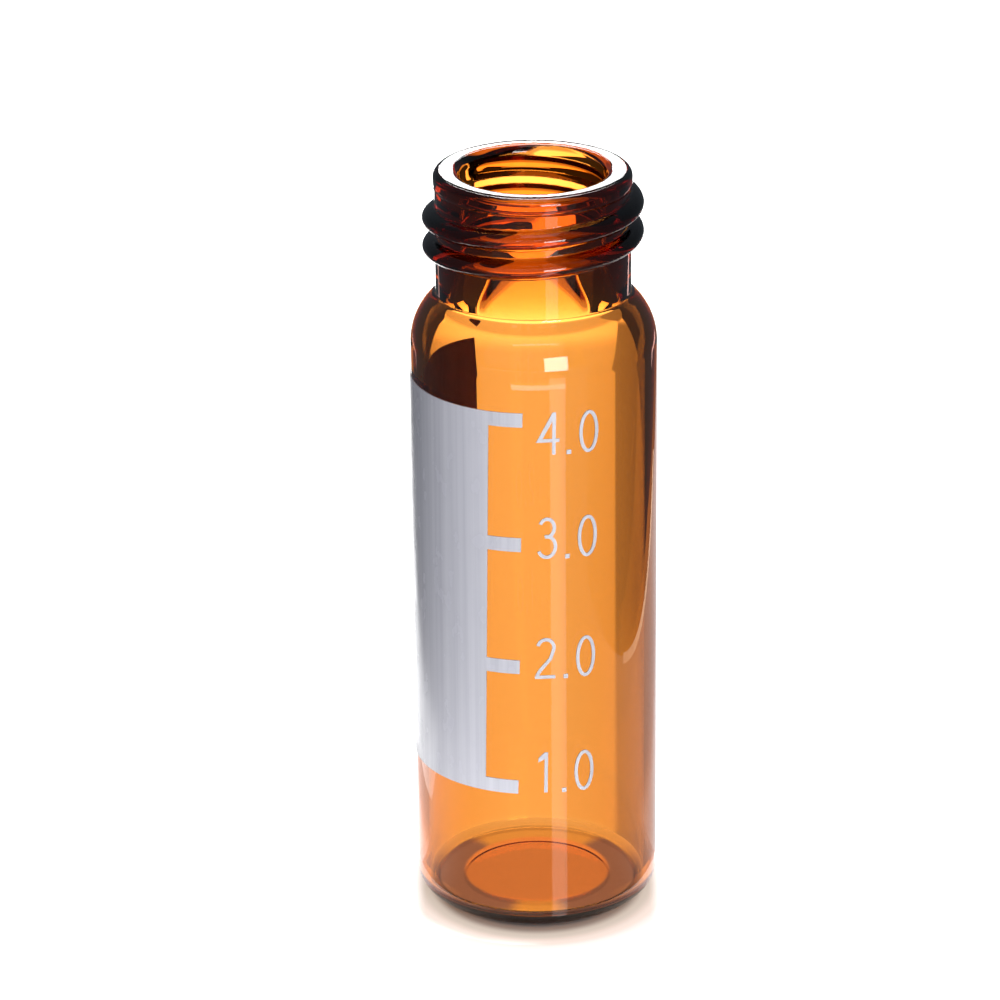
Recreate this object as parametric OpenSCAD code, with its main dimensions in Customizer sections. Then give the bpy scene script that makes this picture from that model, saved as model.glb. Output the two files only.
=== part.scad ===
// Amber glass sample vial with a screw-thread mouth, a fired enamel write-on panel
// and one graduation tick for each millilitre. The vial is open: a cap is a separate part.
// Millimetres. The origin is the centre of the ring that the vial stands on, +Z is up,
// and -Y is the front, where the graduation ticks are read.

/* [Body] */
// Height from the surface that the vial stands on to the top of the lip
vial_h = 45; // [36:0.5:60]
// Outer diameter of the glass tube that the body is drawn from
body_d = 14.3; // [13.4:0.1:18]
// Wall thickness of the body
wall_t = 0.7; // [0.5:0.02:1.2]

/* [Base] */
// Height of the inside floor above the standing surface
floor_h = 0.75; // [0.6:0.05:2.5]
// Radius of the rounded corner inside, between the floor and the wall
floor_corner_r = 0.45; // [0.2:0.05:2.5]
// Radius of the rounded heel outside
heel_r = 1.3; // [0.6:0.1:2]
// Width of the flat ring that the vial stands on
stand_ring_w = 1.45; // [0.5:0.05:2]
// Rise of the underside from the standing ring to its centre
punt_h = 0.35; // [0.1:0.05:0.6]

/* [Neck and lip] */
// Wall thickness of the neck, under the thread
neck_wall_t = 1.45; // [0.9:0.05:1.6]
// Height of the straight neck, from the shoulder's fillet to the top of the lip
neck_h = 7.15; // [5.8:0.05:9]
// How far the band that ends in the lip stands out from the neck
lip_band_rise = 0.075; // [0.025:0.025:0.3]
// Height of that band
lip_band_h = 0.9; // [0.6:0.05:1.2]
// Radius of the lip's outer edge
lip_outer_r = 0.4; // [0.1:0.02:0.5]
// Radius of the lip's inner edge
lip_inner_r = 0.45; // [0.1:0.05:0.7]

/* [Shoulder] */
// Radius of the round shoulder outside
shoulder_r = 3.9; // [3:0.1:6]
// Radius of the hollow fillet where the neck rises from the shoulder
neck_fillet_r = 0.35; // [0.1:0.05:1]
// Radius of the flare inside, where the neck's bore opens into the body
bore_edge_r = 4; // [1:0.1:4.5]

/* [Screw thread] */
// Diameter over the thread's crest
thread_d = 12.75; // [11.5:0.05:13.6]
// How far the crest stands out from the neck
thread_rise = 0.725; // [0.4:0.025:1]
// Rise of the thread in one turn
thread_pitch = 1.7; // [1.4:0.01:2.2]
// Number of turns, with the run-outs
thread_turns = 2.25; // [1:0.25:2.5]
// Width of the thread's bead at the neck's surface
thread_bead_w = 1.25; // [0.8:0.05:1.4]
// Depth of the bead's centre line below the lip at its upper end
thread_top_gap = 1.2; // [1:0.05:1.6]
// Direction in which the bead's upper end lies, anticlockwise from the right (+X)
thread_end_angle = 160; // [0:5:360]
// Angle over which the bead sinks into the neck at each end
thread_runout = 40; // [20:5:90]

/* [Enamel print] */
// Thickness of the fired enamel
enamel_t = 0.05; // [0.02:0.01:0.1]
// Direction of the panel's edge that carries the ticks, anticlockwise from the right (+X)
panel_edge_angle = 246.5; // [200:0.5:300]
// Angle that the panel wraps round the body, clockwise from that edge
panel_wrap = 127; // [60:1:200]
// Angle that each tick reaches beyond the panel's edge
tick_reach = 16; // [5:1:30]
// Height of a tick
tick_w = 0.85; // [0.4:0.05:1.2]
// Height of the lowest tick's centre line, at one millilitre
first_tick_h = 9.4; // [8:0.1:12]

/* [Hidden] */

$fn = 96;
arc_steps = 12;

body_r = body_d / 2;
inner_r = body_r - wall_t;
neck_r = thread_d / 2 - thread_rise;
bore_r = neck_r - neck_wall_t;
lip_band_r = neck_r + lip_band_rise;

// The standing ring lies between the heel and the pushed-up underside.
ring_outer_r = body_r - heel_r;
ring_inner_r = ring_outer_r - stand_ring_w;
punt_sphere_r = (ring_inner_r ^ 2 + punt_h ^ 2) / (2 * punt_h);

// The shoulder's arcs, outside and inside, share a centre. The height of that centre follows
// from the fillet, which touches both the neck and the outer arc.
neck_foot_z = vial_h - neck_h;
shoulder_cx = body_r - shoulder_r;
fillet_cx = neck_r + neck_fillet_r;
shoulder_cz = neck_foot_z - sqrt((shoulder_r + neck_fillet_r) ^ 2 - (fillet_cx - shoulder_cx) ^ 2);
fillet_contact = atan2(neck_foot_z - shoulder_cz, fillet_cx - shoulder_cx);
inner_shoulder_r = inner_r - shoulder_cx;
bore_edge_cx = bore_r + bore_edge_r;
bore_edge_cz = shoulder_cz + sqrt((inner_shoulder_r + bore_edge_r) ^ 2 - (bore_edge_cx - shoulder_cx) ^ 2);
bore_edge_contact = atan2(bore_edge_cz - shoulder_cz, bore_edge_cx - shoulder_cx);

// One millilitre fills this height of the body, so the ticks follow the bore of the tube.
millilitre_h = 1000 / (PI * inner_r ^ 2);
tick_count = floor((shoulder_cz - tick_w / 2 - first_tick_h) / millilitre_h) + 1;
print_bottom_z = first_tick_h - tick_w / 2;
print_top_z = first_tick_h + (tick_count - 1) * millilitre_h + tick_w / 2;

// The bead is a half ellipse whose root is buried in the neck. Its crest sinks into the neck
// at both ends.
thread_bury = 0.3;
thread_end_sink = 0.24;
thread_step = 9;
bead_sides = 8;
thread_rings = round(360 * thread_turns / thread_step);

// Points of an arc round (cx, cz), from one angle to another.
function arc(cx, cz, r, from_angle, to_angle) =
    [for (i = [0:arc_steps]) let (a = from_angle + (to_angle - from_angle) * i / arc_steps)
        [cx + r * cos(a), cz + r * sin(a)]];

// Outside of the glass, from the middle of the underside up to the lip.
outer_outline = concat(
    arc(0, punt_h - punt_sphere_r, punt_sphere_r, 90, acos(ring_inner_r / punt_sphere_r)),
    arc(ring_outer_r, heel_r, heel_r, -90, 0),
    arc(shoulder_cx, shoulder_cz, shoulder_r, 0, fillet_contact),
    arc(fillet_cx, neck_foot_z, neck_fillet_r, 180 + fillet_contact, 180),
    [[neck_r, vial_h - lip_band_h - lip_band_rise], [lip_band_r, vial_h - lip_band_h]],
    arc(lip_band_r - lip_outer_r, vial_h - lip_outer_r, lip_outer_r, 0, 90)
);

// Inside of the glass, from the lip down to the middle of the floor.
inner_outline = concat(
    arc(bore_r + lip_inner_r, vial_h - lip_inner_r, lip_inner_r, 90, 180),
    arc(bore_edge_cx, bore_edge_cz, bore_edge_r, 180, 180 + bore_edge_contact),
    arc(shoulder_cx, shoulder_cz, inner_shoulder_r, bore_edge_contact, 0),
    arc(inner_r - floor_corner_r, floor_h + floor_corner_r, floor_corner_r, 0, -90),
    [[0, floor_h]]
);

// How far the crest stands out at a given angle along the bead: sunk at its ends, then full height.
function bead_rise(along) =
    let (from_end = min(along, 360 * thread_turns - along),
         share = min(1, from_end / thread_runout))
    thread_rise - (thread_rise + thread_end_sink) * (1 + cos(180 * share)) / 2;

// One cross-section of the bead: a half ellipse, closed by its buried root.
function bead_section(along) =
    let (turn = thread_end_angle - 360 * thread_turns + along,
         z = vial_h - thread_top_gap - thread_pitch * (thread_turns - along / 360),
         rise = bead_rise(along) + thread_bury)
    [for (k = [0:bead_sides]) let (a = -90 + 180 * k / bead_sides,
         r = neck_r - thread_bury + rise * cos(a))
        [r * cos(turn), r * sin(turn), z + thread_bead_w / 2 * sin(a)]];

module thread_bead() {
    n = bead_sides + 1;
    points = [for (i = [0:thread_rings]) each bead_section(i * 360 * thread_turns / thread_rings)];
    sides = [for (i = [0:thread_rings - 1], k = [0:bead_sides]) let (k2 = (k + 1) % n)
        each [[i * n + k, i * n + k2, (i + 1) * n + k2], [i * n + k, (i + 1) * n + k2, (i + 1) * n + k]]];
    start_cap = [[for (k = [0:bead_sides]) bead_sides - k]];
    end_cap = [[for (k = [0:bead_sides]) thread_rings * n + k]];
    polyhedron(points, concat(sides, start_cap, end_cap));
}

module glass_vial() {
    color([0.85, 0.42, 0.08, 0.6]) union() {
        rotate_extrude() polygon(concat(outer_outline, inner_outline));
        thread_bead();
    }
}

// A curved block that follows the body, between two angles and two heights.
module curved_block(from_angle, to_angle, low_z, high_z, low_r, high_r) {
    rotate([0, 0, from_angle])
        rotate_extrude(angle = to_angle - from_angle)
            translate([low_r, low_z])
                square([high_r - low_r, high_z - low_z]);
}

module enamel_print() {
    window_clear = 1;
    color([0.93, 0.93, 0.95]) difference() {
        curved_block(panel_edge_angle - panel_wrap, panel_edge_angle + tick_reach,
            print_bottom_z, print_top_z, body_r, body_r + enamel_t);
        for (i = [0:tick_count - 2]) {
            tick_z = first_tick_h + i * millilitre_h;
            curved_block(panel_edge_angle, panel_edge_angle + tick_reach + window_clear,
                tick_z + tick_w / 2, tick_z + millilitre_h - tick_w / 2,
                body_r - window_clear, body_r + window_clear);
        }
    }
}

glass_vial();
enamel_print();
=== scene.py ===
import math

import bpy
from mathutils import Matrix, Vector


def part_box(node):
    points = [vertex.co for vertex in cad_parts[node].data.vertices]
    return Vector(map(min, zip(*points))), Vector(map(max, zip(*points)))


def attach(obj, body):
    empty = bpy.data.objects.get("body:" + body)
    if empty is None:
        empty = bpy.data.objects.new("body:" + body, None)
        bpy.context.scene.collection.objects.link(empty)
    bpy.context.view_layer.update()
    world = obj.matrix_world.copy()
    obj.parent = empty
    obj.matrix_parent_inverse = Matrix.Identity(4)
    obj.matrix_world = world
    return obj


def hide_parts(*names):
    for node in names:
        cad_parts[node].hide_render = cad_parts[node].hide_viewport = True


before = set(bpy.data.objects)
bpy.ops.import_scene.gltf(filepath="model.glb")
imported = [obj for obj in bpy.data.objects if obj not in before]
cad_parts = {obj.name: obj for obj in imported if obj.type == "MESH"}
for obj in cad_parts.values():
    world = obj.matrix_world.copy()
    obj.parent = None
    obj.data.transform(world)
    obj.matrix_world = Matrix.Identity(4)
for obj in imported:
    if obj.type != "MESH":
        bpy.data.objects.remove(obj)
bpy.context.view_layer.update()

MM = 0.001

# ---- Sizes of the vial, in metres and degrees. Most are those of the CAD part ----

VIAL_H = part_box("glass_vial")[1][2]
BODY_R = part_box("glass_vial")[1][0]
WALL = 0.7 * MM
INNER_R = BODY_R - WALL
FLOOR_H = 0.75 * MM
FLOOR_CORNER_R = 0.45 * MM
HEEL_R = 1.3 * MM
RING_W = 1.45 * MM
# The underside rises inside the ring it stands on: a flat middle behind a short smooth step.
PUNT_H = 0.03 * MM
PUNT_FLANK_W = 0.25 * MM

THREAD_R = 6.375 * MM
THREAD_RISE = 0.725 * MM
THREAD_PITCH = 1.7 * MM
THREAD_TURNS = 2.25
THREAD_BEAD_W = 1.25 * MM
THREAD_TOP_GAP = 1.2 * MM
THREAD_END_ANGLE = 160
THREAD_RUNOUT = 40
# The bead's root is buried in the neck, and its crest sinks below the neck's surface at both ends.
THREAD_BURY = 0.3 * MM
THREAD_END_SINK = 0.24 * MM
# The blend rounds off the corner between the bead and the neck.
THREAD_ROOT_BLEND = 0.3 * MM

NECK_R = THREAD_R - THREAD_RISE
NECK_WALL = 1.45 * MM
BORE_R = NECK_R - NECK_WALL
NECK_H = 7.15 * MM
NECK_FOOT_Z = VIAL_H - NECK_H
LIP_BAND_RISE = 0.075 * MM
LIP_BAND_H = 0.9 * MM
LIP_OUTER_R = 0.4 * MM
LIP_INNER_R = 0.45 * MM
SHOULDER_R = 3.9 * MM
NECK_FILLET_R = 0.35 * MM
# Radius of the flare inside, where the bore opens into the body. It is wider than in the CAD part.
BORE_EDGE_R = 5.3 * MM

# The print is fused into the glass: its back lies inside the wall, its front stands proud.
ENAMEL_SINK = 0.03 * MM
ENAMEL_RISE = 0.05 * MM
PANEL_EDGE = 246.5
PANEL_WRAP = 127
TICK_REACH = 16
TICK_W = 0.85 * MM
FIRST_TICK_Z = 9.4 * MM
TICK_COUNT = 4
MILLILITRE_H = 1000 * MM ** 3 / (math.pi * INNER_R ** 2)

# The print leans a little from the vial's axis: its top lies further to the right.
PRINT_LEAN = 0.0168
PRINT_UPRIGHT_Z = 19.5 * MM

# Numerals beside the ticks. Characters are drawn in millimetres, so their height and stroke are too.
DIGIT_H = 2.56
STROKE = 0.2
NUMERAL_RISE = 0.04 * MM
# Strokes of a character that overlap lie at slightly different heights.
LAYER_STEP = 0.004 * MM
# Places of the digit, the point and the nought round the body, and how much they drop to the right.
NUMERAL_ACROSS = (0.57 * MM, 1.75 * MM, 2.96 * MM)
NUMERAL_DROP = 0.042
# Middle of each numeral above its tick, from the lowest tick up.
NUMERAL_ABOVE_TICK = (0.95 * MM, 0.56 * MM, 0.42 * MM, -0.82 * MM)

# Points of the glass's mesh round the vial, and rows of it along the thread.
COLUMNS = 288
THREAD_ROWS = 136

# ---- Sizes of the studio ----

# Half the width of the lit lane that the vial stands in, between its two dark walls, and its far end.
LANE_HALF = 43 * MM
LANE_END = 700 * MM
# Where the cards beside and behind the vial end and those in front of it begin.
LANE_SPLIT = 4 * MM
# Cards that lie on the floor lie this far above it, and above each other.
CARD_LIFT = 0.1 * MM


# ---- Meshes ----

def mesh_object(name, verts, faces, smooth=True):
    """A mesh in the scene, from its corners and faces."""
    mesh = bpy.data.meshes.new(name)
    mesh.from_pydata(verts, [], faces)
    mesh.validate()
    mesh.update()
    mesh.polygons.foreach_set("use_smooth", [smooth] * len(mesh.polygons))
    obj = bpy.data.objects.new(name, mesh)
    bpy.context.scene.collection.objects.link(obj)
    return obj


def arc(cx, cz, r, start, end, steps):
    """Points (r, z) of an arc round (cx, cz), from one angle in degrees to another."""
    turns = [math.radians(start + (end - start) * i / steps) for i in range(steps + 1)]
    return [(cx + r * math.cos(a), cz + r * math.sin(a)) for a in turns]


def line(a, b, steps):
    """Points between a and b, without a and b themselves."""
    return [(a[0] + (b[0] - a[0]) * i / steps, a[1] + (b[1] - a[1]) * i / steps) for i in range(1, steps)]


def smooth_max(a, b, blend):
    """The larger of two lengths, rounded where they differ by less than the blend."""
    gap = max(blend - abs(a - b), 0) / blend
    return max(a, b) + gap * gap * blend / 4


def thread_reach(turn, z):
    """Radius that the thread's bead reaches at an angle (degrees) and a height, or 0 away from it."""
    total = 360 * THREAD_TURNS
    reach = 0
    along = (turn - THREAD_END_ANGLE + total) % 360
    while along <= total:
        centre = VIAL_H - THREAD_TOP_GAP - THREAD_PITCH * (THREAD_TURNS - along / 360)
        share = min(1, min(along, total - along) / THREAD_RUNOUT)
        swell = (1 - math.cos(math.pi * share)) / 2
        off = (z - centre) / (THREAD_BEAD_W / 2)
        if abs(off) < 1:
            rise = (THREAD_RISE + THREAD_BURY + THREAD_END_SINK) * swell - THREAD_END_SINK
            reach = max(reach, NECK_R - THREAD_BURY + rise * math.sqrt(1 - off * off))
        along += 360
    return reach


def base_outline():
    """Outside, as (r, z): the flat middle of the underside, the step to the ring, the ring and the heel."""
    ring_outer = BODY_R - HEEL_R
    ring_inner = ring_outer - RING_W
    flank_steps = 16
    points = [(ring_inner * i / 6, PUNT_H) for i in range(1, 5)]
    for i in range(flank_steps + 1):
        share = i / flank_steps
        height = PUNT_H * (1 + math.cos(math.pi * share)) / 2
        points.append((ring_inner - PUNT_FLANK_W * (1 - share), height))
    return points + arc(ring_outer, HEEL_R, HEEL_R, -90, 0, 14)


def shoulder_centre():
    """The centre (r, z) that the shoulder's arcs share, outside and inside."""
    cx = BODY_R - SHOULDER_R
    fillet_cx = NECK_R + NECK_FILLET_R
    return cx, NECK_FOOT_Z - math.sqrt((SHOULDER_R + NECK_FILLET_R) ** 2 - (fillet_cx - cx) ** 2)


def shoulder_outline():
    """Outside: the straight wall, the round shoulder and the hollow fillet at the neck's foot."""
    cx, cz = shoulder_centre()
    fillet_cx = NECK_R + NECK_FILLET_R
    contact = math.degrees(math.atan2(NECK_FOOT_Z - cz, fillet_cx - cx))
    points = line((BODY_R, HEEL_R), (BODY_R, cz), 12)
    points += arc(cx, cz, SHOULDER_R, 0, contact, 26)
    return points + arc(fillet_cx, NECK_FOOT_Z, NECK_FILLET_R, 180 + contact, 180, 7)[1:]


def lip_outline():
    """The band under the lip and the lip's two rounded edges, up the outside and down into the bore."""
    band_r = NECK_R + LIP_BAND_RISE
    band_low = VIAL_H - LIP_BAND_H
    points = [(band_r, band_low), (band_r, band_low + LIP_BAND_H * 0.3)]
    points += arc(band_r - LIP_OUTER_R, VIAL_H - LIP_OUTER_R, LIP_OUTER_R, 0, 90, 14)
    return points + arc(BORE_R + LIP_INNER_R, VIAL_H - LIP_INNER_R, LIP_INNER_R, 90, 180, 14)


def inside_outline():
    """Inside, from the top: the bore, its flare, the shoulder, the wall, the corner and the floor."""
    cx, cz = shoulder_centre()
    inner_shoulder = INNER_R - cx
    edge_cx = BORE_R + BORE_EDGE_R
    edge_cz = cz + math.sqrt((inner_shoulder + BORE_EDGE_R) ** 2 - (edge_cx - cx) ** 2)
    contact = math.degrees(math.atan2(edge_cz - cz, edge_cx - cx))
    corner_r, corner_z = INNER_R - FLOOR_CORNER_R, FLOOR_H + FLOOR_CORNER_R
    points = line((BORE_R, VIAL_H - LIP_INNER_R), (BORE_R, edge_cz), 10)
    points += arc(edge_cx, edge_cz, BORE_EDGE_R, 180, 180 + contact, 12)
    points += arc(cx, cz, inner_shoulder, contact, 0, 22)[1:]
    points += line((INNER_R, cz), (INNER_R, corner_z), 12)
    points += arc(corner_r, corner_z, FLOOR_CORNER_R, 0, -90, 14)
    return points + line((corner_r, FLOOR_H), (0, FLOOR_H), 8)


def glass_rows():
    """The outline as (radius, z, on_thread), from the underside's middle over the lip to the floor."""
    low, high = NECK_FOOT_Z, VIAL_H - LIP_BAND_H - LIP_BAND_RISE
    heights = [low + (high - low) * i / THREAD_ROWS for i in range(1, THREAD_ROWS + 1)]
    rows = [(r, z, False) for r, z in base_outline() + shoulder_outline()]
    rows += [(NECK_R, z, True) for z in heights]
    rows.append((NECK_R + LIP_BAND_RISE / 2, high + LIP_BAND_RISE / 2, True))
    return rows + [(r, z, False) for r, z in lip_outline() + inside_outline()]


def make_glass():
    """The glass as one closed mesh: the outline turned round the axis, with the thread on the neck."""
    rows = glass_rows()
    verts = [(0, 0, PUNT_H)]
    for r, z, on_thread in rows:
        for k in range(COLUMNS):
            turn = 360 * k / COLUMNS
            radius = smooth_max(r, thread_reach(turn, z), THREAD_ROOT_BLEND) if on_thread else r
            a = math.radians(turn)
            verts.append((radius * math.cos(a), radius * math.sin(a), z))
    verts.append((0, 0, FLOOR_H))
    faces = []
    for k in range(COLUMNS):
        k2 = (k + 1) % COLUMNS
        faces.append((0, 1 + k2, 1 + k))
        for i in range(len(rows) - 1):
            low, high = 1 + i * COLUMNS, 1 + (i + 1) * COLUMNS
            faces.append((low + k, low + k2, high + k2, high + k))
        last = 1 + (len(rows) - 1) * COLUMNS
        faces.append((last + k, last + k2, len(verts) - 1))
    return mesh_object("amber_glass_vial", verts, faces)


def on_body(across, z, radius):
    """A point on the body: across is the distance round it from the front, to the reader's right."""
    a = math.radians(270) + (across + PRINT_LEAN * (z - PRINT_UPRIGHT_Z)) / BODY_R
    return (radius * math.cos(a), radius * math.sin(a), z)


def stroke(points, closed=False):
    """The cells (corners in mm) of an even stroke along a centre line."""
    left, right, count = [], [], len(points)
    for i, (x, y) in enumerate(points):
        x0, y0 = points[i - 1] if i or closed else points[i]
        x1, y1 = points[(i + 1) % count] if i < count - 1 or closed else points[i]
        length = math.hypot(x1 - x0, y1 - y0)
        nx, ny = -(y1 - y0) / length * STROKE / 2, (x1 - x0) / length * STROKE / 2
        left.append((x + nx, y + ny))
        right.append((x - nx, y - ny))
    pairs = [(i, (i + 1) % count) for i in range(count if closed else count - 1)]
    return [[right[i], right[j], left[j], left[i]] for i, j in pairs]


def oval(cx, cy, rx, ry, start, end, steps):
    """Points of an elliptic arc round (cx, cy), from one angle in degrees to another."""
    turns = [math.radians(start + (end - start) * i / steps) for i in range(steps + 1)]
    return [(cx + rx * math.cos(a), cy + ry * math.sin(a)) for a in turns]


def digit_cells(sign):
    """One character round (0, 0), as layers of cells. Cells of one layer share edges, layers overlap."""
    h, w = DIGIT_H / 2, STROKE / 2
    if sign == "0":
        return [stroke(oval(0, 0, 0.5, h - w, 0, 360, 36)[:-1], closed=True)]
    if sign == ".":
        return [[[(-0.13, -h), (0.13, -h), (0.13, 0.26 - h), (-0.13, 0.26 - h)]]]
    if sign == "1":
        return [[[(0, -h), (2 * w, -h), (2 * w, h), (0, h)]],
                [[(0, h - 0.42), (0, h), (-0.36, h - 0.36), (-0.36, h - 0.62)]]]
    if sign == "2":
        hook = oval(-0.01, h - w - 0.52, 0.47, 0.52, 165, -22, 16)
        return [stroke(hook + [(0.27, -0.02), (-0.05, -0.42), (-0.34, -0.78), (-0.5, 2 * w - h)]),
                [[(-0.62, -h), (0.56, -h), (0.56, 2 * w - h), (-0.62, 2 * w - h)]]]
    if sign == "3":
        return [stroke(oval(-0.03, h - w - 0.55, 0.42, 0.55, 155, -100, 20)),
                stroke(oval(-0.03, w + 0.64 - h, 0.5, 0.64, 105, -155, 22))]
    bar = -0.42
    return [[[(0.3 - w, -h), (0.3 + w, -h), (0.3 + w, h), (0.3 - w, h)]],
            [[(0.3 - w, h), (-0.615, bar + w), (-0.359, bar + w), (0.3 - w, h - 0.522)],
             [(-0.615, bar + w), (-0.728, bar - w), (-0.33, bar - w), (-0.359, bar + w)],
             [(-0.359, bar + w), (-0.33, bar - w), (0.3 - w, bar - w), (0.3 - w, bar + w)]],
            [[(0.3 + w, bar - w), (0.62, bar - w), (0.62, bar + w), (0.3 + w, bar + w)]]]


def make_numeral(name, digit, middle):
    """A numeral such as 4.0 beside its tick: raised print that follows the body."""
    verts, faces = [], []
    for sign, across in zip((digit, ".", "0"), NUMERAL_ACROSS):
        height = middle - NUMERAL_DROP * (across - NUMERAL_ACROSS[0])
        for layer, cells in enumerate(digit_cells(sign)):
            add_print(verts, faces, cells, across, height, BODY_R + NUMERAL_RISE + layer * LAYER_STEP)
    return mesh_object(name, verts, faces, smooth=False)


def add_print(verts, faces, cells, across, middle, radius):
    """One layer of print as a closed plate: a front, a back and walls round its open edges."""
    index, edges = {}, {}

    def corner(point, outer):
        key = (round(point[0], 6), round(point[1], 6), outer)
        if key not in index:
            index[key] = len(verts)
            reach = radius if outer else BODY_R - ENAMEL_SINK
            verts.append(on_body(across + point[0] * MM, middle + point[1] * MM, reach))
        return index[key]

    for cell in cells:
        if sum(a[0] * b[1] - b[0] * a[1] for a, b in zip(cell, cell[1:] + cell[:1])) < 0:
            cell = cell[::-1]
        front = [corner(p, True) for p in cell]
        back = [corner(p, False) for p in cell]
        faces.append(front)
        faces.append(back[::-1])
        for i in range(len(cell)):
            j = (i + 1) % len(cell)
            edges[(front[i], front[j])] = (back[i], back[j])
    for (a, b), (below_a, below_b) in edges.items():
        if (b, a) not in edges:
            faces.append([b, a, below_a, below_b])


def make_panel():
    """The write-on panel with its ticks: one thin curved plate on a grid of angles and heights."""
    panel_steps, tick_steps = 72, 10
    angles = [PANEL_EDGE - PANEL_WRAP + PANEL_WRAP * i / panel_steps for i in range(panel_steps + 1)]
    angles += [PANEL_EDGE + TICK_REACH * i / tick_steps for i in range(1, tick_steps + 1)]
    heights, tick_spans = [], []
    for i in range(TICK_COUNT):
        middle = FIRST_TICK_Z + i * MILLILITRE_H
        tick_spans.append(len(heights))
        heights += [middle - TICK_W / 2, middle + TICK_W / 2]
    cells = set()
    for row in range(len(heights) - 1):
        columns = len(angles) - 1 if row in tick_spans else panel_steps
        cells.update((column, row) for column in range(columns))
    return curved_plate("enamel_panel_and_ticks", angles, heights, cells)


def curved_plate(name, angles, heights, cells):
    """The cells (column, row) of a grid on the body as one closed plate: front, back and open edges."""
    verts, index, faces = [], {}, []

    def corner(column, row, outer):
        key = (column, row, outer)
        if key not in index:
            index[key] = len(verts)
            across = math.radians(angles[column] - 270) * BODY_R
            verts.append(on_body(across, heights[row], BODY_R + (ENAMEL_RISE if outer else -ENAMEL_SINK)))
        return index[key]

    for c, r in cells:
        loop = [(c, r), (c + 1, r), (c + 1, r + 1), (c, r + 1)]
        faces.append([corner(*p, True) for p in loop])
        faces.append([corner(*p, False) for p in reversed(loop)])
        beside = [(c, r - 1), (c + 1, r), (c, r + 1), (c - 1, r)]
        for side, neighbour in enumerate(beside):
            if neighbour not in cells:
                a, b = loop[side], loop[(side + 1) % 4]
                faces.append([corner(*b, True), corner(*a, True), corner(*a, False), corner(*b, False)])
    return mesh_object(name, verts, faces, smooth=False)


# ---- Materials ----

def new_material(name):
    """A material with its node tree and its shader."""
    material = bpy.data.materials.new(name)
    material.use_nodes = True
    tree = material.node_tree
    return material, tree, tree.nodes["Principled BSDF"]


def map_range(tree, value, low, high, to_low, to_high):
    """A socket's value, mapped from one range to another."""
    node = tree.nodes.new("ShaderNodeMapRange")
    for name, number in (("From Min", low), ("From Max", high), ("To Min", to_low), ("To Max", to_high)):
        node.inputs[name].default_value = number
    tree.links.new(value, node.inputs["Value"])
    return node.outputs["Result"]


def mix_colours(tree, factor, a, b):
    """Blend two colours, each a constant or a socket, by a socket."""
    node = tree.nodes.new("ShaderNodeMix")
    node.data_type = "RGBA"
    tree.links.new(factor, node.inputs["Factor"])
    for name, colour in (("A", a), ("B", b)):
        socket = [i for i in node.inputs if i.name == name and i.type == "RGBA"][0]
        if isinstance(colour, tuple):
            socket.default_value = colour
        else:
            tree.links.new(colour, socket)
    return [o for o in node.outputs if o.type == "RGBA"][0]


def noise(tree, per_metre, stretch=(1, 1, 1), detail=3):
    """Noise in the piece's own coordinates, with its grain stretched along the axes."""
    place = tree.nodes.new("ShaderNodeTexCoord")
    mapping = tree.nodes.new("ShaderNodeMapping")
    mapping.inputs["Scale"].default_value = stretch
    texture = tree.nodes.new("ShaderNodeTexNoise")
    texture.inputs["Scale"].default_value = per_metre
    texture.inputs["Detail"].default_value = detail
    tree.links.new(place.outputs["Object"], mapping.inputs["Vector"])
    tree.links.new(mapping.outputs["Vector"], texture.inputs["Vector"])
    return texture.outputs["Fac"]


def bump(tree, height, distance, strength, under=None):
    """A normal that a height pattern bends, on top of another bump if one is given."""
    node = tree.nodes.new("ShaderNodeBump")
    node.inputs["Distance"].default_value = distance
    node.inputs["Strength"].default_value = strength
    tree.links.new(height, node.inputs["Height"])
    if under is not None:
        tree.links.new(under, node.inputs["Normal"])
    return node.outputs["Normal"]


def amber_glass():
    """Clear amber glass, which absorbs light along its path. It has faint draw lines and waves."""
    material, tree, shader = new_material("amber_glass")
    shader.inputs["Base Color"].default_value = (1, 1, 1, 1)
    shader.inputs["Transmission Weight"].default_value = 1
    shader.inputs["IOR"].default_value = 1.5
    drawn = bump(tree, noise(tree, 420, (1, 1, 0.05)), 0.005 * MM, 0.03)
    waves = bump(tree, noise(tree, 160, (1, 1, 0.6), 1), 0.01 * MM, 0.04, drawn)
    tree.links.new(waves, shader.inputs["Normal"])
    tree.links.new(map_range(tree, noise(tree, 900), 0.45, 0.75, 0, 0.03), shader.inputs["Roughness"])
    absorb = tree.nodes.new("ShaderNodeVolumeAbsorption")
    absorb.inputs["Color"].default_value = (0.845, 0.575, 0.08, 1)
    absorb.inputs["Density"].default_value = 2580
    tree.links.new(absorb.outputs[0], tree.nodes["Material Output"].inputs["Volume"])
    return material


def white_enamel():
    """Fired screen-print enamel: satin, with fine upright streaks from the squeegee and a light mottle."""
    material, tree, shader = new_material("white_enamel")
    thin, thick, specks = (0.675, 0.665, 0.73, 1), (0.8, 0.79, 0.85, 1), (0.63, 0.62, 0.705, 1)
    streaks = noise(tree, 2600, (1, 1, 0.012), 4)
    mottle = noise(tree, 1100, (1, 1, 0.5), 4)
    streaked = mix_colours(tree, map_range(tree, streaks, 0.3, 0.7, 0, 1), thin, thick)
    mottled = mix_colours(tree, map_range(tree, mottle, 0.55, 0.8, 0, 0.5), streaked, specks)
    tree.links.new(mottled, shader.inputs["Base Color"])
    tree.links.new(map_range(tree, mottle, 0.3, 0.7, 0.17, 0.3), shader.inputs["Roughness"])
    tree.links.new(bump(tree, streaks, 0.006 * MM, 0.4), shader.inputs["Normal"])
    return material


def paint(obj, material):
    """Gives a piece one material."""
    obj.data.materials.clear()
    obj.data.materials.append(material)


# ---- Camera, floor and studio ----

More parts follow.
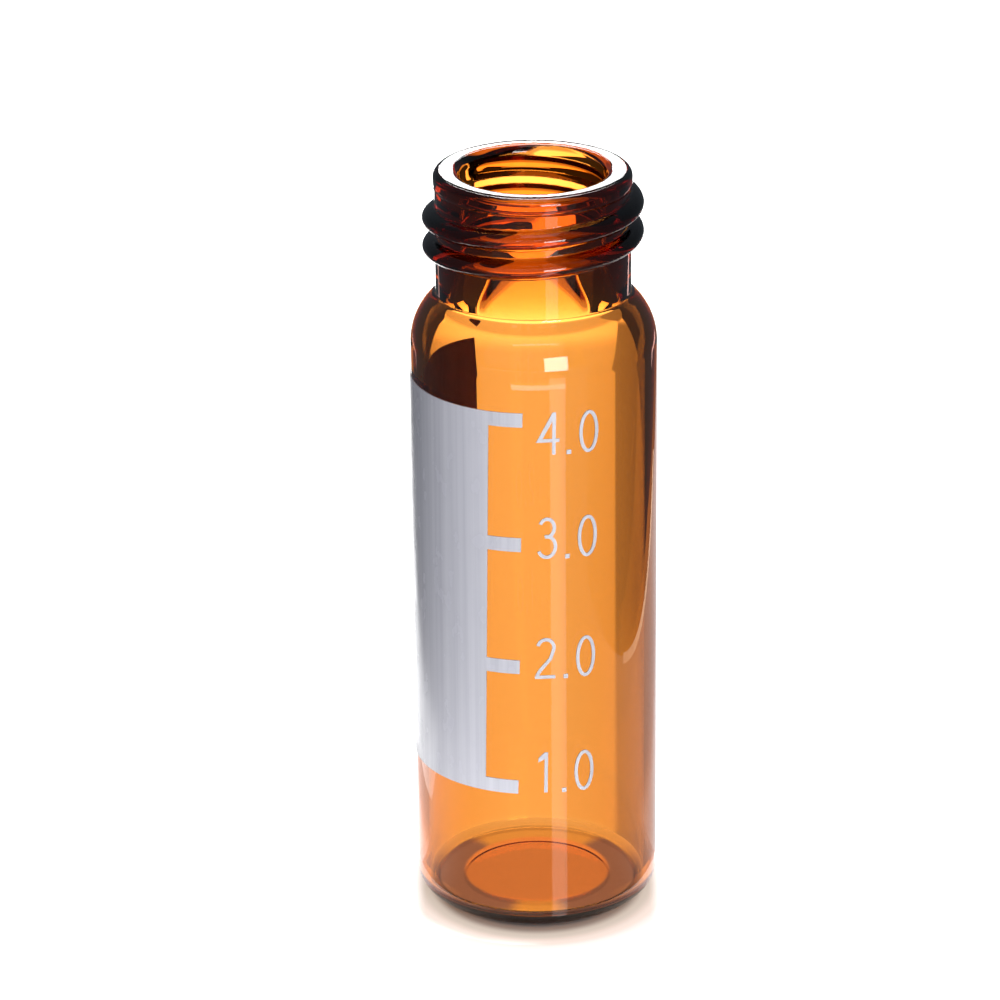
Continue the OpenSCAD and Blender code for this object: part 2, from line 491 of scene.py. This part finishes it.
def make_camera():
    """A long lens, 300 mm from the vial and 22 degrees above it, with the small roll that the view has."""
    distance, elevation, roll = 300 * MM, math.radians(22.05), math.radians(-0.518)
    aim = Vector((-2.03 * MM, 0, 24.62 * MM))
    data = bpy.data.cameras.new("camera")
    data.sensor_width = 36
    data.lens = 184.39
    data.clip_start, data.clip_end = 0.01, 10
    camera = bpy.data.objects.new("camera", data)
    bpy.context.scene.collection.objects.link(camera)
    back = Vector((0, -math.cos(elevation), math.sin(elevation)))
    turn = (-back).to_track_quat("-Z", "Y").to_matrix() @ Matrix.Rotation(roll, 3, "Z")
    camera.matrix_world = Matrix.Translation(aim + back * distance) @ turn.to_4x4()
    bpy.context.scene.camera = camera
    return camera


def soft_step(tree, value, low, high, before, after):
    """A smooth step from one number or socket to another as value goes from low to high."""
    node = tree.nodes.new("ShaderNodeMapRange")
    node.interpolation_type = "SMOOTHSTEP"
    node.inputs["From Min"].default_value, node.inputs["From Max"].default_value = low, high
    tree.links.new(value, node.inputs["Value"])
    for name, end in (("To Min", before), ("To Max", after)):
        if isinstance(end, (int, float)):
            node.inputs[name].default_value = end
        else:
            tree.links.new(end, node.inputs[name])
    return node.outputs["Result"]


def maths(tree, operation, *values):
    """A Math node on numbers or sockets."""
    node = tree.nodes.new("ShaderNodeMath")
    node.operation = operation
    for socket, value in zip(node.inputs, values):
        if isinstance(value, (int, float)):
            socket.default_value = value
        else:
            tree.links.new(value, socket)
    return node.outputs[0]


def floor_place(tree, centre_y=0, x_scale=1):
    """A point's x, y and distance from (0, centre_y), in the stage piece's own coordinates."""
    mapping = tree.nodes.new("ShaderNodeMapping")
    mapping.inputs["Location"].default_value = (0, -centre_y, 0)
    mapping.inputs["Scale"].default_value = (x_scale, 1, 1)
    tree.links.new(tree.nodes.new("ShaderNodeTexCoord").outputs["Object"], mapping.inputs["Vector"])
    place = mapping.outputs["Vector"]
    parts = tree.nodes.new("ShaderNodeSeparateXYZ")
    tree.links.new(place, parts.inputs[0])
    length = tree.nodes.new("ShaderNodeVectorMath")
    length.operation = "LENGTH"
    tree.links.new(place, length.inputs[0])
    return parts.outputs["X"], parts.outputs["Y"], length.outputs["Value"]


def rings(tree, radius, stops):
    """Colours by radius: stops are (millimetres, colour) out to 10 mm, smooth in between."""
    reach = 10
    ramp = tree.nodes.new("ShaderNodeValToRGB")
    ramp.color_ramp.interpolation = "EASE"
    points = ramp.color_ramp.elements
    for _ in stops[2:]:
        points.new(0.5)
    for point, (place, colour) in zip(points, stops):
        point.position = place / reach
        point.color = (*colour, 1)
    tree.links.new(maths(tree, "DIVIDE", radius, reach * MM), ramp.inputs[0])
    return ramp.outputs["Color"]


def make_floor():
    """A pale floor that glows white. Round the foot it has a painted shadow of the vial, and painted amber
    light under it.
    """
    size = 6
    corners = [(-size, -size, 0), (size, -size, 0), (size, size, 0), (-size, size, 0)]
    floor = mesh_object("floor", corners, [(0, 1, 2, 3)])
    material, tree, shader = new_material("floor")
    shader.inputs["Base Color"].default_value = (0.25, 0.25, 0.25, 1)
    shader.inputs["Roughness"].default_value = 1
    shader.inputs["Specular IOR Level"].default_value = 0
    tree.links.new(floor_pattern(tree), shader.inputs["Emission Color"])
    path = tree.nodes.new("ShaderNodeLightPath")
    # The floor sheds little of its glow on the enamel.
    glow = map_range(tree, path.outputs["Is Diffuse Ray"], 0, 1, 1.8, 0.2)
    tree.links.new(glow, shader.inputs["Emission Strength"])
    paint(floor, material)


def floor_pattern(tree):
    """White, with a painted shadow on both sides of the vial and in front of it, and painted light and
    shade under its base.
    """
    x, y, under_radius = floor_place(tree, 0.6 * MM)
    # Painted light under the base: amber in the middle. On the ring the vial stands on, painted shade at
    # its left and right, and lighter at its front and back.
    middle = (0.88, 0.66, 0.75)
    sides = rings(tree, under_radius, [(4.2, middle), (4.5, (0.31, 0.31, 1))])
    ends = rings(tree, under_radius, [(4.2, middle), (4.5, (0.8, 0.8, 0.7))])
    sideways = maths(tree, "SUBTRACT", maths(tree, "ABSOLUTE", x), maths(tree, "MULTIPLY", y, 0.25))
    sideways = soft_step(tree, maths(tree, "DIVIDE", sideways, under_radius), 0.4, 0.6, 0, 1)
    under = mix_colours(tree, sideways, ends, sides)
    # Painted shadow round the foot: black at the glass, fading out to white, mostly cleared behind the vial
    # and beyond its sides.
    _, _, shadow_radius = floor_place(tree, -0.8 * MM, 1.05)
    fading = [(5.5, (0, 0, 0)), (6.05, (0.1, 0.06, 0.04)), (6.9, (0.33, 0.27, 0.22))]
    fading += [(7.9, (0.5, 0.4, 0.35)), (8.6, (0.58, 0.5, 0.47)), (9.8, (1, 1, 1))]
    shadow = rings(tree, shadow_radius, fading)
    ahead = soft_step(tree, maths(tree, "DIVIDE", y, shadow_radius), 0, 0.55, 0, 0.85)
    beside = soft_step(tree, maths(tree, "ABSOLUTE", x), 6.6 * MM, 8.4 * MM, 0, 1)
    shadow = mix_colours(tree, maths(tree, "MAXIMUM", ahead, beside), shadow, (1, 1, 1, 1))
    return mix_colours(tree, soft_step(tree, under_radius, 5.85 * MM, 6.0 * MM, 0, 1), under, shadow)


def make_world():
    """White behind the floor's edge for the camera, dim for everything else."""
    world = bpy.data.worlds.new("studio")
    bpy.context.scene.world = world
    world.use_nodes = True
    tree = world.node_tree
    direct = tree.nodes.new("ShaderNodeLightPath")
    strength = tree.nodes.new("ShaderNodeMapRange")
    strength.inputs["To Min"].default_value = 0.02
    strength.inputs["To Max"].default_value = 1.1
    tree.links.new(direct.outputs["Is Camera Ray"], strength.inputs["Value"])
    tree.nodes["Background"].inputs["Color"].default_value = (1, 1, 1, 1)
    tree.links.new(strength.outputs["Result"], tree.nodes["Background"].inputs["Strength"])


def studio_card(name, corners, strength, colour=(1, 1, 1), diffuse=True, pattern=None):
    """A card of light, or a black one at strength 0. It turns with the camera, which doesn't see it."""
    material = bpy.data.materials.new(name)
    material.use_nodes = True
    shader = material.node_tree.nodes["Principled BSDF"]
    shader.inputs["Base Color"].default_value = (0, 0, 0, 1)
    shader.inputs["Specular IOR Level"].default_value = 0
    shader.inputs["Emission Color"].default_value = (*colour, 1)
    shader.inputs["Emission Strength"].default_value = strength
    if pattern is not None:
        material.node_tree.links.new(pattern(material.node_tree), shader.inputs["Emission Strength"])
    card = mesh_object(name, corners, [tuple(range(len(corners)))], smooth=False)
    paint(card, material)
    card.visible_camera = False
    card.visible_shadow = False
    card.visible_diffuse = diffuse
    card.parent = camera
    card.matrix_parent_inverse = camera.matrix_world.inverted()
    return card


def upright(name, x0, y0, x1, y1, low, high, strength, colour=(1, 1, 1), diffuse=True):
    """An upright card over the line from (x0, y0) to (x1, y1)."""
    corners = [(x0, y0, low), (x1, y1, low), (x1, y1, high), (x0, y0, high)]
    return studio_card(name, corners, strength, colour, diffuse)


def facing(name, azimuth, elevation, width, height, strength, colour=(1, 1, 1), distance=300 * MM):
    """A card that faces the vial: azimuth 0 is the camera's side, and grows to the right."""
    a, b = math.radians(azimuth), math.radians(elevation)
    out = Vector((math.cos(b) * math.sin(a), -math.cos(b) * math.cos(a), math.sin(b)))
    side = Vector((math.cos(a), math.sin(a), 0))
    rise = side.cross(out)
    centre = Vector((0, 0, VIAL_H / 2)) + out * distance
    signs = [(-1, -1), (1, -1), (1, 1), (-1, 1)]
    corners = [centre + side * width / 2 * s + rise * height / 2 * t for s, t in signs]
    return studio_card(name, [tuple(c) for c in corners], strength, colour)


def ground(azimuth, distance):
    """A place on the floor: azimuth 0 is the camera's side, and grows to the right."""
    a = math.radians(azimuth)
    return (distance * math.sin(a), -distance * math.cos(a))


def mirrored_spot(azimuth, run):
    """The place on the floor that the body mirrors at an azimuth, a run away from the glass."""
    x, y = ground(azimuth, BODY_R)
    a = math.radians(2 * azimuth)
    return (x + run * math.sin(a), y - run * math.cos(a))


def band(azimuths, near, far):
    """Places on the floor round a band between two distances from the vial."""
    return [ground(a, near) for a in azimuths] + [ground(a, far) for a in reversed(azimuths)]


def on_floor(places, level=1):
    """The corners of a card that lies on the floor, on top of those with a lower level."""
    return [(x, y, level * CARD_LIFT) for x, y in places]


def in_mm(places):
    """Places given in millimetres, in metres."""
    return [(x * MM, y * MM) for x, y in places]


def only_for(card, diffuse=False, glossy=False, transmission=False):
    """Lets a card be seen by some kinds of ray only."""
    card.visible_diffuse = diffuse
    card.visible_glossy = glossy
    card.visible_transmission = transmission


def make_flags():
    """Dark walls beside the vial and a dark floor in front of it, which darken the glass's edges."""
    front, low, high = -40 * MM, -250 * MM, 300 * MM
    cool = (0.75, 0.85, 1)
    upright("flag_left", -LANE_HALF, front, -LANE_HALF, LANE_END, low, high, 0.12, cool)
    upright("flag_right", LANE_HALF, front, LANE_HALF, LANE_END, low, high, 0.12, cool)
    near = [ground(a, 9 * MM) for a in range(-110, 111, 10)]
    # The dark floor reaches past the camera, and as far to both sides.
    far = 2
    right_side = [(LANE_HALF, LANE_SPLIT), (LANE_HALF, front), (far, front), (far, -far)]
    left_side = [(-x, y) for x, y in reversed(right_side)]
    studio_card("dark_front", on_floor(near + right_side + left_side), 0, pattern=front_light)


def front_light(tree):
    """Brightness of the floor in front: dark, and brighter towards the vial's sides."""
    x, y, _ = floor_place(tree)
    sideways = maths(tree, "DIVIDE", y, maths(tree, "ABSOLUTE", x))
    return soft_step(tree, sideways, -0.8, 0.2, 0.3, soft_step(tree, x, -1 * MM, 1 * MM, 1.1, 0.75))


def table_light(tree):
    """Brightness of the floor behind the vial: a lane, brighter far off, with greyer and dark sides."""
    x, y, _ = floor_place(tree)
    lane = soft_step(tree, y, 92 * MM, 104 * MM, 2.06, 3.4)
    lane = soft_step(tree, y, 106 * MM, 122 * MM, lane, 5.5)
    right_half = soft_step(tree, y, 60 * MM, 110 * MM, 1.86, lane)
    grey = soft_step(tree, y, 30 * MM, 44 * MM, 1.1, 0.9)
    grey = soft_step(tree, x, 14 * MM, 20 * MM, grey, soft_step(tree, y, 30 * MM, 44 * MM, 0.75, 0.85))
    grey = soft_step(tree, y, 106 * MM, 116 * MM, grey, lane)
    from_strip = maths(tree, "SUBTRACT", x, maths(tree, "MULTIPLY", y, 0.03))
    from_edge = maths(tree, "SUBTRACT", x, maths(tree, "MULTIPLY", y, 0.12))
    light = soft_step(tree, from_strip, 1.2 * MM, 1.9 * MM, lane, right_half)
    light = soft_step(tree, from_edge, 4.5 * MM, 5.3 * MM, light, grey)
    light = soft_step(tree, x, -14 * MM, -10 * MM, soft_step(tree, y, 40 * MM, 55 * MM, 1.28, light), light)
    wide = maths(tree, "MULTIPLY", maths(tree, "MAXIMUM", maths(tree, "SUBTRACT", 112 * MM, y), 0), 0.32)
    past = maths(tree, "SUBTRACT", maths(tree, "ABSOLUTE", x), wide)
    return soft_step(tree, past, 21.4 * MM, 22.6 * MM, light, 0.1)


def make_table():
    """The lit floor behind and beside the vial, with a dark strip on its left."""
    inner = [ground(a, 8.7 * MM) for a in range(260, 99, -10)]
    right_side = [(LANE_HALF, LANE_SPLIT), (LANE_HALF, LANE_END)]
    left_side = [(-x, y) for x, y in reversed(right_side)]
    corners = on_floor(inner + right_side + left_side)
    studio_card("table", corners, 0, diffuse=False, pattern=table_light)
    dark = in_mm([(-43, -20), (-30, -20), (-30, 84), (-43, 42)])
    studio_card("dark_left", on_floor(dark, 2), 0.1, diffuse=False)


def make_glints():
    """Cards that show only in reflections: streaks on the body's sides and glints on the neck's."""
    glow = in_mm([(-30, 3), (-30, 56), (-9, 56), (-9, 24), (-17, 15), (-18, 4)])
    only_for(studio_card("left_glow", on_floor(glow, 3), 2.6), glossy=True)
    streak = in_mm([(41, -4), (42.8, -4), (42.8, 60), (41, 60)])
    only_for(studio_card("right_line", on_floor(streak, 4), 2.6, (1, 0.82, 0.62)), glossy=True)
    for name, x, strength in (("neck_glint_left", -42.5, 1.2), ("neck_glint_right", 42.5, 2.6)):
        place = [number * MM for number in (x, 45, x, 75, 11.5, 15)]
        only_for(upright(name, *place, strength, (1, 0.6, 0.55)), glossy=True)


def make_lights():
    """Bright cards behind and above the vial, soft fills, and the highlights on the front of the body."""
    arch = [(-142, 30), (-105, 30), (-95, 110), (-65, 145), (-30, 160), (30, 160), (65, 145), (95, 110)]
    arch += [(105, 30), (142, 30), (142, 187), (-142, 187)]
    back = 400 * MM
    studio_card("key_arch", [(x, back, z) for x, z in in_mm(arch)], 7, diffuse=False)
    upright("key_high", -290 * MM, back, 290 * MM, back, 215 * MM, 640 * MM, 6, diffuse=False)
    overhead = in_mm([(-200, -80), (200, -80), (200, 230), (-200, 230)])
    studio_card("key_top", [(x, y, 350 * MM) for x, y in overhead], 1)
    facing("fill_front", -12, 30, 700 * MM, 480 * MM, 0.35, (0.84, 0.87, 1), 500 * MM)
    fill = facing("fill_right", 65, 15, 300 * MM, 300 * MM, 4, distance=500 * MM)
    only_for(fill, diffuse=True, transmission=True)
    facing("window", 20, 12, 112 * MM, 120 * MM, 13, (0.95, 0.97, 1))
    facing("thin_lamp", 2, 46, 200 * MM, 14 * MM, 3)
    left, right, near, far = 7, 14.3, 0.3 * MM, 145 * MM
    strip = [mirrored_spot(left, near), mirrored_spot(left, far), mirrored_spot(right, far)]
    strip.append(mirrored_spot(right, near))
    studio_card("strip_on_table", on_floor(strip, 2), 2.0, diffuse=False)
    cross_line = band(range(-21, 29, 7), 100.2 * MM, 101.8 * MM)
    studio_card("line_on_table", on_floor(cross_line, 3), 4.5, diffuse=False)
    foot = band((-75, -50, -25, 0), 9 * MM, 18 * MM)
    only_for(studio_card("foot_glow", on_floor(foot, 4), 2.8), diffuse=True)


def set_light_paths():
    """Enough bounces for light to pass through both walls, the thread and the base."""
    cycles = bpy.context.scene.cycles
    cycles.max_bounces = 40
    cycles.transmission_bounces = 40
    cycles.glossy_bounces = 16
    cycles.diffuse_bounces = 4
    cycles.transparent_max_bounces = 16
    bpy.context.scene.view_settings.view_transform = "Standard"


camera = make_camera()
make_floor()
make_world()
make_flags()
make_table()
make_glints()
make_lights()
set_light_paths()

glass = make_glass()
paint(glass, amber_glass())
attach(glass, "root")
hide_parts("glass_vial")

enamel = white_enamel()
panel = make_panel()
paint(panel, enamel)
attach(panel, "root")
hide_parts("enamel_print")

for tick, above in enumerate(NUMERAL_ABOVE_TICK):
    digit = str(tick + 1)
    numeral = make_numeral("numeral_" + digit + "_0", digit, FIRST_TICK_Z + tick * MILLILITRE_H + above)
    paint(numeral, enamel)
    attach(numeral, "root")
